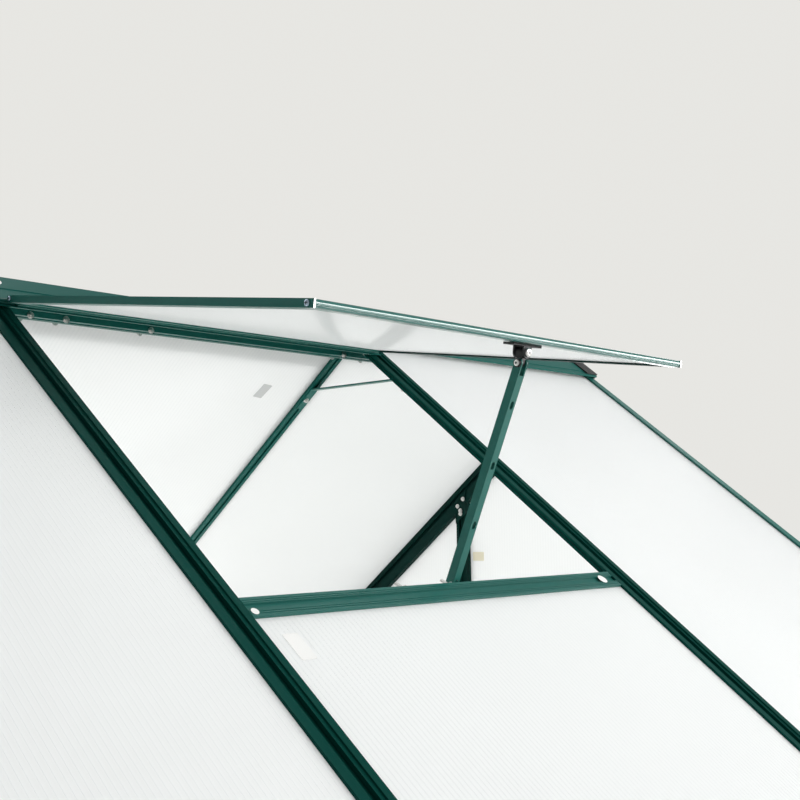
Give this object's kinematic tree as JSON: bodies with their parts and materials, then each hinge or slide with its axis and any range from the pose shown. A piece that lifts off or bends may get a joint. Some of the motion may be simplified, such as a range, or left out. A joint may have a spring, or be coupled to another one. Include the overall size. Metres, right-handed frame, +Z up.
{
  "type": "greenhouse roof with opening vent",
  "caption": "Gabled greenhouse roof of green bars and milky twin-wall sheets, with a ridge-hinged vent propped open on a pegged stay.",
  "frame": {"origin": "middle of the roof's plan, at the underside of the eave rails", "axes": "X along the ridge, +Y towards the back slope, Z up; the vent is in the front slope, on the -Y side"},
  "size_m": [1.784, 1.9, 0.791],
  "materials": {
    "green_frame": "satin powder coat",
    "panel": "milky twin-wall sheet",
    "black_plastic": "moulded, fine grain",
    "steel": "zinc plated"
  },
  "bodies": {
    "roof_frame": {"back_eave_rail": "green_frame", "back_left_gable_rafter": "green_frame", "back_left_gable_stud": "green_frame", "back_left_panel": "panel", "back_left_rafter": "green_frame", "back_middle_panel": "panel", "back_right_gable_rafter": "green_frame", "back_right_gable_stud": "green_frame", "back_right_panel": "panel", "back_right_rafter": "green_frame", "front_eave_rail": "green_frame", "front_left_gable_rafter": "green_frame", "front_left_gable_stud": "green_frame", "front_left_panel": "panel", "front_left_rafter": "green_frame", "front_lower_panel": "panel", "front_right_gable_rafter": "green_frame", "front_right_gable_stud": "green_frame", "front_right_panel": "panel", "front_right_rafter": "green_frame", "left_collar_tie": "green_frame", "left_gable_back_panel": "panel", "left_gable_front_panel": "panel", "left_gable_gussets": "green_frame", "left_gable_middle_panel": "panel", "left_gable_plate": "green_frame", "left_ridge_cap": "black_plastic", "ridge_beam": "green_frame", "right_collar_tie": "green_frame", "right_gable_back_panel": "panel", "right_gable_front_panel": "panel", "right_gable_gussets": "green_frame", "right_gable_middle_panel": "panel", "right_gable_plate": "green_frame", "right_ridge_cap": "black_plastic", "stay_pegs": "steel", "vent_sill": "green_frame"},
    "vent": {"vent_front_rail": "green_frame", "vent_hinge_rail": "green_frame", "vent_left_rail": "green_frame", "vent_panel": "panel", "vent_right_rail": "green_frame", "stay_bracket": "black_plastic"},
    "stay_knuckle": {"stay_knuckle": "black_plastic"},
    "stay": {"stay_arm": "green_frame"}
  },
  "joints": [
    {"name": "vent_hinge", "type": "hinge", "parent": "roof_frame", "child": "vent", "pos_m": [0, -0.05857, 0.75068], "axis": [-1, 0, 0], "range_deg": [-29.8, 0]},
    {"name": "stay_swing", "type": "hinge", "parent": "vent", "child": "stay_knuckle", "pos_m": [0.0125, -0.53346, 0.67376], "axis": [0, -0.9898, -0.1426], "range_deg": [0, 80]},
    {"name": "stay_tilt", "type": "hinge", "parent": "stay_knuckle", "child": "stay", "pos_m": [0.0125, -0.53182, 0.66238], "axis": [1, 0, 0], "range_deg": [0, 55]}
  ]
}
